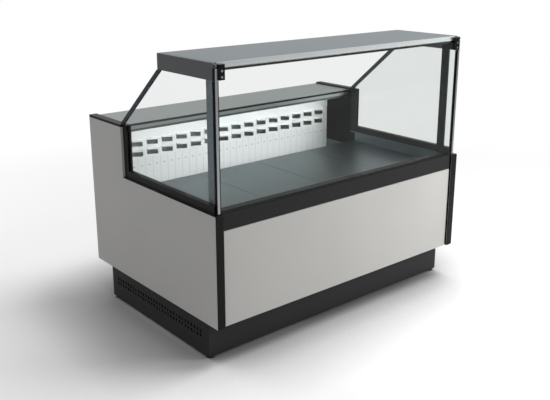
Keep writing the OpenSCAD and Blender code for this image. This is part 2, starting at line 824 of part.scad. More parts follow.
module service_grille() {
    flange = 14;
    flange_t = 3;
    depth = 8;
    inner_x = [cond_x0 + panel_clear, cond_x1 - panel_clear];
    inner_z = [service_z[0] + panel_clear, service_z[1] - panel_clear];
    bar_pitch = (inner_z[1] - inner_z[0] - 8) / service_bars;
    color("#2b2b2d") difference() {
        union() {
            slab([cond_x0 - flange, cond_x1 + flange], [rear_face, rear_face + flange_t],
                 [service_z[0] - flange, service_z[1] + flange]);
            slab(inner_x, [rear_face - depth, rear_face + 1], inner_z);
        }
        for (i = [0 : service_bars - 1])
            slab([inner_x[0] + 8, inner_x[1] - 8], [rear_face - depth - 1, rear_face + flange_t + 1],
                 [inner_z[0] + 6 + i * bar_pitch, inner_z[0] + 6 + i * bar_pitch + bar_pitch * 0.6]);
    }
}

module power_inlet() {
    nut_r = inlet_r * 1.5;
    color("#1d1d1f") difference() {
        union() {
            bar_y(inlet_x, [tub_rear - 14, rear_face + 1], inlet_z, inlet_r);
            translate([inlet_x, ty(rear_face), inlet_z]) rotate([-90, 0, 0])
                cylinder(r = nut_r, h = 8, $fn = 6);
            translate([inlet_x, ty(tub_rear - 8), inlet_z]) rotate([-90, 0, 0])
                cylinder(r = nut_r, h = 8, $fn = 6);
            bar_y(inlet_x, [rear_face + 7, rear_face + 15], inlet_z, inlet_r + 1);
        }
        bar_y(inlet_x, [tub_rear - 15, rear_face + 16], inlet_z, inlet_r * 0.55);
    }
}

module control_panel() {
    margin = 10;
    face = rear_face + bezel_t;
    window = [46, 24];
    rocker_gap = 3;
    rocker_room = [rear_face - 9, face + 1];
    color("#202124") difference() {
        union() {
            slab([control_x0, control_x0 + control_w], [rear_face, face],
                 [control_z - control_h / 2, control_z + control_h / 2]);
            slab([control_x0 + margin, control_x0 + control_w - margin],
                 [rear_face - housing_d, rear_face + 1],
                 [control_z - control_h / 2 + margin, control_z + control_h / 2 - margin]);
        }
        slab([control_x0 + 12, control_x0 + 12 + window[0]], [face - 1, face + 1],
             [control_z - window[1] / 2, control_z + window[1] / 2]);
        for (dz = [-button_dz, button_dz])
            bar_y(button_x, [rear_face - 4, face + 1], control_z + dz, button_r + run_clear);
        slab([rocker_x - rocker_w / 2 - 1, rocker_x + rocker_w / 2 + 1], rocker_room,
             [control_z - rocker_h / 2 - rocker_gap, control_z + rocker_h / 2 + rocker_gap]);
        bar_x([rocker_x - rocker_w / 2 - 4, rocker_x + rocker_w / 2 + 4], rocker_axis_t, control_z,
              1.5 + run_clear);
    }
}

module button(dz) {
    proud = 3;
    color("#8a8d90") bar_y(button_x, [rear_face - 4 + button_travel + 1, rear_face + bezel_t + proud],
                           control_z + dz, button_r);
}

// Rocker at rest on its lower side
module light_switch() {
    depth_in = 3;
    depth_out = 8;
    color("#3fae5a") {
        translate([0, ty(rocker_axis_t), control_z]) rotate([-rocker_tilt, 0, 0])
            translate([rocker_x - rocker_w / 2, -depth_in, -rocker_h / 2])
                cube([rocker_w, depth_in + depth_out, rocker_h]);
        bar_x([rocker_x - rocker_w / 2 - 3, rocker_x + rocker_w / 2 + 3], rocker_axis_t, control_z, 1.5);
    }
}

// Glass enclosure
function glass_outline(extra) = [
    [glass_front, glass_seat], [glass_rear, glass_seat], [glass_rear, upright_z],
    [slope_foot - slope_w + 10 + extra, upright_z], [shelf_rear - slope_w + 10 + extra, bracket_bottom],
    [glass_front, bracket_bottom]
];

module side_glass() {
    color("#cfe0e0", 0.35) prism(glass_x, glass_outline(0));
}

module slope_frame() {
    color("#3a3d40") difference() {
        prism([glass_x[0] - slope_wall, glass_x[1] + slope_wall], [
            [slope_foot - slope_w, upright_z], [slope_foot, upright_z],
            [shelf_rear, bracket_bottom], [shelf_rear - slope_w, bracket_bottom]
        ]);
        prism([glass_x[0] - fit_clear, glass_x[1] + fit_clear], glass_outline(fit_clear));
    }
}

module post() {
    color("#5c6467") slab([-inner_hw, -inner_hw + post_t], [post_front, post_front + post_d],
                          [low_top, total_h - shelf_t]);
}

module shelf_bracket() {
    ear_x = [-pane_hw, -pane_hw + ear_t];
    color("#454548") difference() {
        union() {
            slab([-pane_hw, -inner_hw], [shelf_front, shelf_rear], [bracket_bottom, total_h]);
            slab(ear_x, [axis_t, shelf_front + 1], [axis_z - ear_r, axis_z + ear_r]);
            bar_x(ear_x, axis_t, axis_z, ear_r);
        }
        bar_x([ear_x[0] - 1, ear_x[1] + 1], axis_t, axis_z, pin_r + run_clear);
    }
}

module shelf() {
    color("#8e999d") difference() {
        slab([-inner_hw, inner_hw], [shelf_front, shelf_rear], [total_h - shelf_t, total_h]);
        slab([-inner_hw - 1, inner_hw + 1], [shelf_front + sheet, shelf_rear - sheet],
             [total_h - shelf_t + sheet, total_h - sheet]);
    }
}

module shelf_front_rail() {
    rail_z = total_h - shelf_t - shelf_rail_h;
    color("#151516") slab([-inner_hw, inner_hw], [shelf_front, shelf_front + shelf_rail_d],
                          [rail_z, total_h - shelf_t]);
}

// Lift-up front glass
module front_pane() {
    color("#cfe0e0", 0.3) slab([-pane_hw + profile_wall, pane_hw - profile_wall],
        [pane_front, pane_front + pane_t], [pane_bottom, pane_top]);
}

module pane_profile() {
    difference() {
        slab([-pane_hw, -pane_hw + profile_w], [pane_front - profile_wall, pane_back], [pane_bottom, pane_top]);
        slab([-pane_hw + profile_wall, -pane_hw + profile_w + 1], [pane_front, pane_front + pane_t],
             [pane_bottom - 1, pane_top + 1]);
    }
}

module pane_profiles() {
    color("#b9bdbf") {
        pane_profile();
        on_right() pane_profile();
    }
}

module hinge_clamp() {
    pin_end = 0.5;
    color("#161617") {
        difference() {
            slab([clamp_x, clamp_x + clamp_w],
                 [pane_front - clamp_out, pane_front + pane_t + clamp_in],
                 [axis_z - clamp_h, axis_z + clamp_cap]);
            slab([clamp_x - 1, clamp_x + clamp_w + 1], [pane_front, pane_front + pane_t],
                 [axis_z - clamp_h - 1, pane_top]);
        }
        bar_x([-pane_hw + pin_end, clamp_x + 1], axis_t, axis_z, pin_r);
    }
}

base_frame();
foot(-foot_x(), foot_t(false));  // foot_front_left
foot(foot_x(), foot_t(false));  // foot_front_right
foot(-foot_x(), foot_t(true));  // foot_rear_left
foot(foot_x(), foot_t(true));  // foot_rear_right
plinth_front_panel();
plinth_side_panel();  // plinth_left_panel
on_right() plinth_side_panel();  // plinth_right_panel
plinth_rear_panel();
end_panel();  // end_panel_left
on_right() end_panel();  // end_panel_right
end_edging();  // end_edging_left
on_right() end_edging();  // end_edging_right
front_panel();
bumper();
insulated_tub();
side_liner();  // side_liner_left
on_right() side_liner();  // side_liner_right
drain_pipe();
deck_supports();
deck_plate(0);  // deck_plate_1
deck_plate(1);  // deck_plate_2
deck_plate(2);  // deck_plate_3
deck_plate(3);  // deck_plate_4
return_grille();
slotted_rear_wall();
worktop();
worktop_light();
evaporator();
evaporator_fan_plate();
evaporator_fan_motors();
evaporator_fan(-evap_fan_x);  // evaporator_fan_left
evaporator_fan(evap_fan_x);  // evaporator_fan_right
compressor();
condenser();
condenser_fan_motor();
condenser_fan();
refrigerant_pipes();
rear_panel();
rear_panel_screws();
service_grille();
power_inlet();
control_panel();
button(button_dz);  // button_up
button(-button_dz);  // button_down
light_switch();
post();  // post_left
on_right() post();  // post_right
side_glass();  // side_glass_left
on_right() side_glass();  // side_glass_right
slope_frame();  // slope_frame_left
on_right() slope_frame();  // slope_frame_right
shelf_bracket();  // shelf_bracket_left
on_right() shelf_bracket();  // shelf_bracket_right
shelf();
shelf_front_rail();
front_pane();
pane_profiles();
hinge_clamp();  // hinge_clamp_left
on_right() hinge_clamp();  // hinge_clamp_right
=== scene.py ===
import json
import math

import bpy
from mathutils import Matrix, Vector


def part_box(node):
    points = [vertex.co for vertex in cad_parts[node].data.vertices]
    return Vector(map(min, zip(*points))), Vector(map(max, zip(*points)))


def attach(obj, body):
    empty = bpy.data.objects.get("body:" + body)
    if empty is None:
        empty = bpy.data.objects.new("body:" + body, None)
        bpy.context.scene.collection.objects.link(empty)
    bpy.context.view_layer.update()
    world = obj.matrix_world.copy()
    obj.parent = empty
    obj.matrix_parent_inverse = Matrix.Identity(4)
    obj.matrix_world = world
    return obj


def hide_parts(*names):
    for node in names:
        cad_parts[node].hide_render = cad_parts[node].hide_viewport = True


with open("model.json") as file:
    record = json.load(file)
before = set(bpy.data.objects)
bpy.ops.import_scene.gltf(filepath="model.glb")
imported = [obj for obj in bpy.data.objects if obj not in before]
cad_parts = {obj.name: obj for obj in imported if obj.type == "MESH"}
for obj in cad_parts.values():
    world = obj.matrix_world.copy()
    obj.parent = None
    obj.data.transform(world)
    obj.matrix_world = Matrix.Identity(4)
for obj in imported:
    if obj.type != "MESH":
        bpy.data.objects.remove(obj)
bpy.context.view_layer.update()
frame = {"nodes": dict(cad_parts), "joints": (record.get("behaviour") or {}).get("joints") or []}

bl_info = {
    "name": "Serve-over display counter",
    "version": (1, 0, 0),
    "blender": (4, 5, 0),
    "location": "3D View > Sidebar > Counter",
    "description": "Dresses a refrigerated serve-over counter with its finishes, fittings and studio",
    "category": "Object",
}

# The solids' own box, taken before anything is added to it
NODES = frame["nodes"]
# A point on the axis of each turning piece
PIVOTS = {joint["child"]: joint["pos_m"] for joint in frame["joints"] if "pos_m" in joint}

LEFT, RIGHT = Vector((-1, 0, 0)), Vector((1, 0, 0))
FRONT, REAR = Vector((0, -1, 0)), Vector((0, 1, 0))
DOWN, UP = Vector((0, 0, -1)), Vector((0, 0, 1))

# Air slots of the rear wall, in metres; top and bottom are those of the lower row
SLOT_COLUMNS, SLOT_ROWS = 16, 2
SLOT_PITCH, SLOT_ROW_PITCH = 0.089, 0.052
SLOT_WIDTH, SLOT_BOTTOM, SLOT_TOP = 0.066, 0.699, 0.741

# Studio lamps: name, place, target, size in metres and power in watts
SOFTBOXES = (
    ("key_softbox", (1.45, -2.15, 1.2), (0.6, -0.5, 0.4), 1.0, 30),
    ("top_softbox", (2.6, -1.3, 7.2), (0, 0, 0), 3.5, 385),
    ("rear_softbox", (-1.8, 3.4, 2.6), (0, 0, 0.5), 2.0, 30),
)
WHITE = (1, 1, 1, 1)


def linear(code):
    """Turns an sRGB hex colour into a linear one with full alpha."""
    channels = [int(code[i:i + 2], 16) / 255 for i in (1, 3, 5)]
    return tuple(c / 12.92 if c <= 0.04045 else ((c + 0.055) / 1.055) ** 2.4 for c in channels) + (1.0,)


def colour_property(name, description, code):
    """A colour that the user can change, from its sRGB hex value."""
    return bpy.props.FloatVectorProperty(
        name=name, description=description, subtype="COLOR", size=4, min=0, max=1, default=linear(code))


def length_property(name, description, millimetres):
    """A length that the user can change, from millimetres."""
    return bpy.props.FloatProperty(
        name=name, description=description, unit="LENGTH", precision=4, min=0.0001,
        default=millimetres / 1000)


class CounterColours(bpy.types.PropertyGroup):
    """Colours of the counter's finishes."""
    front_panel: colour_property("Front panel", "Powder coat of the front and service panels", "#c8c7c4")
    end_panel: colour_property("End panel", "Laminate on the outside of the end panels", "#d6d5d3")
    end_inside: colour_property("End panel inside", "Laminate on the inside of the end panels", "#060607")
    edging: colour_property("Edging", "Powder coat of the edging, glass rails and caps", "#0b0b0c")
    bumper: colour_property("Bumper", "Powder coat of the bumper rail", "#343434")
    plinth: colour_property("Plinth", "Powder coat of the plinth and service grille", "#303032")
    shelf: colour_property("Shelf", "Powder coat of the top shelf", "#757d80")
    bracket: colour_property("Shelf bracket", "Powder coat of the shelf's end brackets", "#6e6f73")
    post: colour_property("Post", "Anodised aluminium of posts and sloping frames", "#59636a")
    deck: colour_property("Deck steel", "Brushed stainless of the deck", "#6f797c")
    worktop: colour_property("Worktop steel", "Brushed stainless of the worktop", "#bcc4c3")
    rear_wall: colour_property("Rear wall", "Enamel of the slotted wall", "#f4f6f6")
    glass: colour_property("Glass", "Tint of the toughened glass", "#eff1f0")


class CounterSizes(bpy.types.PropertyGroup):
    """Sizes of the fittings that the scene adds to the solids."""
    panel_edge: length_property("Panel edge", "Rounding of sheet and board edges", 1.6)
    fitting_edge: length_property("Fitting edge", "Rounding of small fittings' edges", 0.6)
    fin_gap: length_property("Fin gap", "Distance between neighbouring cooling fins", 8.0)
    fin_sheet: length_property("Fin sheet", "Thickness of a cooling fin", 0.6)
    blade_sheet: length_property("Blade thickness", "Thickness of a fan blade", 1.6)
    louvre_reach: length_property("Louvre reach", "How far a louvre stands out of the rear wall", 6.0)
    seal_width: length_property("Seal width", "Width of the rubber seal inside the front glass", 10.0)


# Materials

def add(tree, kind, inputs=None, feeds=None, **settings):
    """Adds one shader node with its settings, input values and links, and the sockets that it feeds."""
    made = tree.nodes.new(kind)
    for name, value in settings.items():
        setattr(made, name, value)
    for name, value in (inputs or {}).items():
        if isinstance(value, bpy.types.NodeSocket):
            tree.links.new(value, made.inputs[name])
        else:
            made.inputs[name].default_value = value
    for name, socket in (feeds or {}).items():
        tree.links.new(made.outputs[name], socket)
    return made


def finish(name, roughness, metallic=0.0):
    """Starts a named material and gives its node tree, its shader and the piece's own coordinates."""
    material = bpy.data.materials.new(name)
    material.use_nodes = True
    tree = material.node_tree
    shader = tree.nodes["Principled BSDF"]
    shader.inputs["Roughness"].default_value = roughness
    shader.inputs["Metallic"].default_value = metallic
    place = add(tree, "ShaderNodeTexCoord").outputs["Object"]
    return material, tree, shader, place


def shade(colour, share):
    """The same colour made lighter or darker."""
    return tuple(min(1.0, c * share) for c in colour[:3]) + (1.0,)


def second_tone(material, axis, comparison, limit, colour):
    """Paints a second tone over a finish, where the distance from the middle along an axis passes a limit."""
    tree = material.node_tree
    base = tree.nodes["Principled BSDF"].inputs["Base Color"]
    first = base.links[0].from_socket
    split = add(tree, "ShaderNodeSeparateXYZ", {0: add(tree, "ShaderNodeTexCoord").outputs["Object"]})
    away = add(tree, "ShaderNodeMath", {0: split.outputs[axis]}, operation="ABSOLUTE")
    past = add(tree, "ShaderNodeMath", {0: away.outputs[0], 1: limit}, operation=comparison)
    add(tree, "ShaderNodeMix", {0: past.outputs[0], 6: first, 7: colour}, {2: base}, data_type="RGBA")
    return material


def powder_coat(name, colour, roughness, gloss=0.3):
    """Powder-coated metal: a cured plastic film, even in colour, with the soft orange peel of the melt."""
    material, tree, shader, place = finish(name, roughness)
    shader.inputs["Specular IOR Level"].default_value = gloss
    # Real orange peel is 1 to 2 mm wide; it is drawn 6 mm wide so that it shows
    peel = add(tree, "ShaderNodeTexNoise", {"Vector": place, "Scale": 1000 / 6, "Detail": 2.0})
    cloud = add(tree, "ShaderNodeTexNoise", {"Vector": place, "Scale": 1000 / 350, "Detail": 3.0})
    add(tree, "ShaderNodeMix", {0: cloud.outputs["Fac"], 6: shade(colour, 0.94), 7: shade(colour, 1.05)},
        {2: shader.inputs["Base Color"]}, data_type="RGBA")
    add(tree, "ShaderNodeMapRange", {0: peel.outputs["Fac"], 3: roughness - 0.05, 4: roughness + 0.06},
        {0: shader.inputs["Roughness"]})
    add(tree, "ShaderNodeBump", {"Height": peel.outputs["Fac"], "Strength": 0.06, "Distance": 0.0006},
        {"Normal": shader.inputs["Normal"]})
    return material


def end_board(name, outside, inside):
    """Laminated board: satin grey decor paper outside, black inside, with a very fine linen emboss."""
    material, tree, shader, place = finish(name, 0.5)
    shader.inputs["Specular IOR Level"].default_value = 0.1
    # The emboss is about 0.5 mm in truth; it is drawn at 5 mm so that it shows
    linen = add(tree, "ShaderNodeTexNoise", {"Vector": place, "Scale": 1000 / 5, "Detail": 3.0})
    cloud = add(tree, "ShaderNodeTexNoise", {"Vector": place, "Scale": 1000 / 420, "Detail": 2.0})
    add(tree, "ShaderNodeMix", {0: cloud.outputs["Fac"], 6: shade(outside, 0.95), 7: shade(outside, 1.05)},
        {2: shader.inputs["Base Color"]}, data_type="RGBA")
    add(tree, "ShaderNodeBump", {"Height": linen.outputs["Fac"], "Strength": 0.05, "Distance": 0.0005},
        {"Normal": shader.inputs["Normal"]})
    # The limit lies a hair outside the inner face, so that the whole face is dark
    hair = 0.0003
    inner_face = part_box("end_panel_right")[0][0]
    return second_tone(material, "X", "LESS_THAN", inner_face + hair, inside)


def brushed_steel(name, colour, roughness):
    """Brushed stainless: fine scratches along the counter that blur reflections across it."""
    material, tree, shader, place = finish(name, roughness, 1.0)
    # Scratches are 0.1 mm wide in truth; they are drawn 3 mm wide and 300 mm long so that they show
    lines = add(tree, "ShaderNodeMapping", {"Vector": place, "Scale": (1000 / 300, 1000 / 3, 1000 / 3)})
    brush = add(tree, "ShaderNodeTexNoise", {"Vector": lines.outputs[0], "Scale": 1.0, "Detail": 4.0})
    wide = add(tree, "ShaderNodeTexNoise", {"Vector": place, "Scale": 1000 / 500, "Detail": 2.0})
    both = add(tree, "ShaderNodeMath", {0: brush.outputs["Fac"], 1: wide.outputs["Fac"]},
               operation="MULTIPLY")
    add(tree, "ShaderNodeMix", {0: both.outputs[0], 6: shade(colour, 0.92), 7: shade(colour, 1.12)},
        {2: shader.inputs["Base Color"]}, data_type="RGBA")
    add(tree, "ShaderNodeMapRange", {0: brush.outputs["Fac"], 3: roughness - 0.07, 4: roughness + 0.07},
        {0: shader.inputs["Roughness"]})
    add(tree, "ShaderNodeBump", {"Height": brush.outputs["Fac"], "Strength": 0.05, "Distance": 0.0004},
        {"Normal": shader.inputs["Normal"]})
    return material


def anodised(name, colour, roughness):
    """Anodised aluminium: satin metal with faint drawing lines along the extrusion."""
    material, tree, shader, place = finish(name, roughness, 1.0)
    # Die lines are 0.2 mm wide in truth; they are drawn 2 mm wide so that they show
    lines = add(tree, "ShaderNodeMapping", {"Vector": place, "Scale": (1000 / 2, 1000 / 2, 3.0)})
    drawn = add(tree, "ShaderNodeTexNoise", {"Vector": lines.outputs[0], "Scale": 1.0, "Detail": 2.0})
    add(tree, "ShaderNodeMix", {0: drawn.outputs["Fac"], 6: shade(colour, 0.9), 7: shade(colour, 1.1)},
        {2: shader.inputs["Base Color"]}, data_type="RGBA")
    add(tree, "ShaderNodeMapRange", {0: drawn.outputs["Fac"], 3: roughness - 0.06, 4: roughness + 0.06},
        {0: shader.inputs["Roughness"]})
    return material


def white_enamel(name, colour):
    """Enamelled steel: gloss white, with the joints of the pressed strips below the air slots."""
    material, tree, shader, place = finish(name, 0.3)
    split = add(tree, "ShaderNodeSeparateXYZ", {0: place})
    # Strips are half a slot pitch wide; the distance runs from one joint to the middle of its strip
    strip = add(tree, "ShaderNodeMath", {0: split.outputs["X"], 1: SLOT_PITCH / 4}, operation="PINGPONG")
    joint = add(tree, "ShaderNodeMath", {0: strip.outputs[0], 1: 0.0012}, operation="LESS_THAN")
    below = add(tree, "ShaderNodeMath", {0: split.outputs["Z"], 1: SLOT_BOTTOM - 0.004},
                operation="LESS_THAN")
    line = add(tree, "ShaderNodeMath", {0: joint.outputs[0], 1: below.outputs[0]}, operation="MULTIPLY")
    # A small pressed tick in each strip, 26 mm above the deck
    between = add(tree, "ShaderNodeMath", {0: strip.outputs[0], 1: 0.0155}, operation="GREATER_THAN")
    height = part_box("deck_plate_1")[1][2] + 0.026
    level = add(tree, "ShaderNodeMath", {0: split.outputs["Z"], 1: height, 2: 0.0022}, operation="COMPARE")
    tick = add(tree, "ShaderNodeMath", {0: between.outputs[0], 1: level.outputs[0]}, operation="MULTIPLY")
    plain = add(tree, "ShaderNodeMix", {0: line.outputs[0], 6: colour, 7: shade(colour, 0.74)},
                data_type="RGBA")
    add(tree, "ShaderNodeMix", {0: tick.outputs[0], 6: plain.outputs[2], 7: shade(colour, 0.55)},
        {2: shader.inputs["Base Color"]}, data_type="RGBA")
    return material


def zinc_coat(name, colour, cell_mm=14.0):
    """Hot-dip zinc: grey metal with the frosted spangle of zinc crystals."""
    material, tree, shader, place = finish(name, 0.45, 1.0)
    spangle = add(tree, "ShaderNodeTexVoronoi", {"Vector": place, "Scale": 1000 / cell_mm})
    grey = add(tree, "ShaderNodeSeparateColor", {0: spangle.outputs["Color"]})
    add(tree, "ShaderNodeMix", {0: grey.outputs[0], 6: shade(colour, 0.85), 7: shade(colour, 1.12)},
        {2: shader.inputs["Base Color"]}, data_type="RGBA")
    add(tree, "ShaderNodeMapRange", {0: grey.outputs[1], 3: 0.35, 4: 0.58},
        {0: shader.inputs["Roughness"]})
    return material


def moulded(name, colour, roughness):
    """Moulded ABS, nylon or rubber: even colour with a fine spark-eroded grain."""
    material, tree, shader, place = finish(name, roughness)
    # The grain is about 0.2 mm in truth; it is drawn at 3 mm so that it shows
    grain = add(tree, "ShaderNodeTexNoise", {"Vector": place, "Scale": 1000 / 3, "Detail": 3.0})
    add(tree, "ShaderNodeMix", {0: grain.outputs["Fac"], 6: shade(colour, 0.88), 7: shade(colour, 1.1)},
        {2: shader.inputs["Base Color"]}, data_type="RGBA")
    add(tree, "ShaderNodeBump", {"Height": grain.outputs["Fac"], "Strength": 0.12, "Distance": 0.0003},
        {"Normal": shader.inputs["Normal"]})
    return material


def bare_metal(name, colour, roughness, stain):
    """Plain drawn metal, such as copper pipe or mill-finish fins: bright, with dull handling stains."""
    material, tree, shader, place = finish(name, roughness, 1.0)
    marks = add(tree, "ShaderNodeTexNoise", {"Vector": place, "Scale": 1000 / 40, "Detail": 4.0})
    add(tree, "ShaderNodeMix", {0: marks.outputs["Fac"], 6: shade(colour, stain), 7: shade(colour, 1.08)},
        {2: shader.inputs["Base Color"]}, data_type="RGBA")
    add(tree, "ShaderNodeMapRange", {0: marks.outputs["Fac"], 3: roughness + 0.1, 4: roughness - 0.05},
        {0: shader.inputs["Roughness"]})
    return material


def toughened_glass(name, tint):
    """Toughened display glass: clear with a faint green cast; lamps shine through it onto the goods."""
    material, tree, shader, _ = finish(name, 0.0)
    shader.inputs["Base Color"].default_value = tint
    shader.inputs["Transmission Weight"].default_value = 1.0
    # The low index stands for the anti-reflective coating of display glass
    shader.inputs["IOR"].default_value = 1.22
    path = add(tree, "ShaderNodeLightPath")
    clear = add(tree, "ShaderNodeBsdfTransparent", {"Color": tint})
    add(tree, "ShaderNodeMixShader",
        {0: path.outputs["Is Shadow Ray"], 1: shader.outputs[0], 2: clear.outputs[0]},
        {0: tree.nodes["Material Output"].inputs["Surface"]})
    return material


def opal_diffuser(name):
    """Opal polycarbonate over white light strips: a soft, even glow."""
    material, tree, shader, place = finish(name, 0.35)
    shader.inputs["Base Color"].default_value = linear("#f4f8fa")
    shader.inputs["Emission Color"].default_value = linear("#f9fbfb")
    shader.inputs["Emission Strength"].default_value = 11.0
    frost = add(tree, "ShaderNodeTexNoise", {"Vector": place, "Scale": 1000 / 4, "Detail": 2.0})
    add(tree, "ShaderNodeBump", {"Height": frost.outputs["Fac"], "Strength": 0.1, "Distance": 0.0003},
        {"Normal": shader.inputs["Normal"]})
    return material


def shelf_coat(name, colour):
    """Powder coat of the shelf: blue-grey on top, with a painted highlight along its front edge, drawn as a
    lighter strip.
    """
    # The painted highlight takes in the rounded edges of the front face
    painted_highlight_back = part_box("shelf")[0][1] + 0.0018
    return second_tone(powder_coat(name, colour, 0.36, 0.25), "Y", "GREATER_THAN", -painted_highlight_back,
                       linear("#cbcfcf"))


def edge_profile(name):
    """Glass edge profile: satin silver aluminium on the front land, black anodised on its sides."""
    # The land is the first millimetre
    land_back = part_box("pane_profiles")[0][1] + 0.001
    return second_tone(anodised(name, linear("#d4d8da"), 0.3), "Y", "LESS_THAN", -land_back,
                       linear("#1a1c1d"))


def post_profile(name, colour):
    """Post of anodised aluminium: a grey outer face, with painted shade making the faces turned to the goods
    near black.
    """
    # The limit lies a hair inside the outer face, so that the whole face is grey
    hair = 0.0004
    outer_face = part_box("post_right")[1][0]
    # Painted shade: every face inside the outer face is given a near-black tone
    return second_tone(anodised(name, colour, 0.4), "X", "LESS_THAN", outer_face - hair,
                       linear("#2b3033"))


def foot_finish(name):
    """Levelling foot: black nylon pad under a zinc-plated stem and nut."""
    material, tree, shader, place = finish(name, 0.5)
    split = add(tree, "ShaderNodeSeparateXYZ", {0: place})
    # The pad is 12 mm high
    stem = add(tree, "ShaderNodeMath", {0: split.outputs["Z"], 1: 0.0122},
               {0: shader.inputs["Metallic"]}, operation="GREATER_THAN")
    grain = add(tree, "ShaderNodeTexNoise", {"Vector": place, "Scale": 1000 / 3, "Detail": 2.0})
    nylon = add(tree, "ShaderNodeMix",
                {0: grain.outputs["Fac"], 6: linear("#161617"), 7: linear("#2a2a2c")}, data_type="RGBA")
    add(tree, "ShaderNodeMix", {0: stem.outputs[0], 6: nylon.outputs[2], 7: linear("#b9bcbd")},
        {2: shader.inputs["Base Color"]}, data_type="RGBA")
    return material


FINISHES = {}


def make_finishes(colours):
    """Makes every finish of the counter once."""
    FINISHES.update(
        front=powder_coat("powder_coated_steel_light_grey", colours.front_panel, 0.34),
        end=end_board("laminated_board_grey_and_black", colours.end_panel, colours.end_inside),
        edging=powder_coat("powder_coated_aluminium_black", colours.edging, 0.36),
        bumper=powder_coat("powder_coated_aluminium_charcoal", colours.bumper, 0.5, 0.06),
        plinth=powder_coat("powder_coated_steel_charcoal", colours.plinth, 0.45),
        shelf=shelf_coat("powder_coated_shelf_blue_grey", colours.shelf),
        bracket=powder_coat("powder_coated_bracket_dark_grey", colours.bracket, 0.4),
        post=post_profile("anodised_aluminium_dark", colours.post),
        profile=edge_profile("anodised_glass_edge_profile"),
        profile_dark=anodised("anodised_aluminium_grey", linear("#7c8284"), 0.42),
        deck=brushed_steel("brushed_stainless_deck", colours.deck, 0.37),
        worktop=brushed_steel("brushed_stainless_worktop", colours.worktop, 0.36),
        wall=white_enamel("white_enamelled_steel", colours.rear_wall),
        zinc=zinc_coat("galvanised_steel", linear("#8d9396")),
        skin=zinc_coat("zinc_coated_tub_skin", linear("#b4babd"), 22.0),
        glass=toughened_glass("toughened_glass_clear", colours.glass),
        opal=opal_diffuser("opal_diffuser_lit"),
        clamp=powder_coat("gloss_black_zinc_casting", linear("#101011"), 0.22),
        seal=moulded("rubber_seal_black", linear("#141415"), 0.6),
        black_abs=moulded("moulded_abs_black", linear("#1c1c1e"), 0.42),
        grey_abs=moulded("moulded_abs_grey", linear("#7d8285"), 0.45),
        green_abs=moulded("moulded_rocker_green", linear("#2f8f4d"), 0.3),
        lens=powder_coat("smoked_acrylic_lens", linear("#0b0c0e"), 0.1),
        enamel=powder_coat("black_compressor_enamel", linear("#161719"), 0.3),
        fin=bare_metal("mill_finish_aluminium_fins", linear("#c0c5c8"), 0.35, 0.86),
        copper=bare_metal("drawn_copper_pipe", linear("#c07a4c"), 0.3, 0.7),
        screw=bare_metal("zinc_plated_screw", linear("#c9cbcc"), 0.3, 0.85),
        foot=foot_finish("nylon_pad_zinc_stem"),
        white_pipe=moulded("moulded_drain_pipe_grey", linear("#c7c9c9"), 0.5),
    )


def coat(material, *names):
    """Gives solids carried over from the source their finish."""
    for name in names:
        mesh = NODES[name].data
        mesh.materials.clear()
        mesh.materials.append(FINISHES[material])


def soften(width, *names):
    """Breaks the sharp edges of solids carried over from the source."""
    for name in names:
        solid = NODES[name]
        weld = solid.modifiers.new("joined_faces", "WELD")
        weld.merge_threshold = 0.00002
        bevel = solid.modifiers.new("broken_edges", "BEVEL")
        bevel.width = width
        bevel.segments = 2
        bevel.limit_method = "ANGLE"
        bevel.angle_limit = math.radians(50)
        bevel.use_clamp_overlap = True
        normals = solid.modifiers.new("flat_faces", "WEIGHTED_NORMAL")
        normals.keep_sharp = True


# Modelling

def clear_selection():
    """Leaves edit mode and deselects everything."""
    if bpy.context.mode != "OBJECT":
        bpy.ops.object.mode_set(mode="OBJECT")
    bpy.ops.object.select_all(action="DESELECT")


def only(piece):
    """Selects one piece alone and makes it the active one."""
    clear_selection()
    piece.select_set(True)
    bpy.context.view_layer.objects.active = piece


def begin(name):
    """Names the active piece and puts its place and size into its mesh."""
    piece = bpy.context.active_object
    piece.name = name
    piece.data.name = name
    bpy.ops.object.transform_apply(location=True, rotation=True, scale=True)
    return piece


def block(name, low, high):
    """Starts a piece from a block between two corners."""
    clear_selection()
    low, high = Vector(low), Vector(high)
    bpy.ops.mesh.primitive_cube_add(size=1, location=(low + high) / 2)
    bpy.context.active_object.scale = high - low
    return begin(name)


def rod(name, start, end, radius, sides):
    """Starts a piece from a round bar between two points."""
    clear_selection()
    start, end = Vector(start), Vector(end)
    along = end - start
    bpy.ops.mesh.primitive_cylinder_add(
        vertices=sides, radius=radius, depth=along.length, location=(start + end) / 2)
    bpy.context.active_object.rotation_euler = along.to_track_quat("Z", "Y").to_euler()
    return begin(name)


def facing(way):
    """A test for faces that look one way."""
    return lambda middle, normal: normal.dot(way) > 0.9


def pick(piece, test):
    """Opens a piece in edit mode, with the faces selected that pass a test on their middle and normal."""
    only(piece)
    bpy.ops.object.mode_set(mode="EDIT")
    bpy.ops.mesh.select_mode(type="FACE")
    bpy.ops.mesh.select_all(action="DESELECT")
    bpy.ops.object.mode_set(mode="OBJECT")
    for face in piece.data.polygons:
        face.select = test(face.center, face.normal)
    bpy.ops.object.mode_set(mode="EDIT")


def leave():
    """Closes edit mode."""
    bpy.ops.object.mode_set(mode="OBJECT")


def press(piece, way, rim, move, rounding=None):
    """Moves the middle of a face that looks one way, inside a rim, and rounds its edges where asked."""
    pick(piece, facing(way))
    bpy.ops.mesh.inset(thickness=rim)
    bpy.ops.mesh.extrude_region_move(TRANSFORM_OT_translate={"value": move})
    if rounding:
        bpy.ops.mesh.bevel(offset=rounding, segments=2, affect="EDGES")
    leave()


def slope(piece, way, share, fixed):
    """Makes the end of a piece that looks one way higher or lower, about a fixed point."""
    pick(piece, facing(way))
    bpy.ops.transform.resize(value=(1, 1, share), center_override=fixed)
    leave()


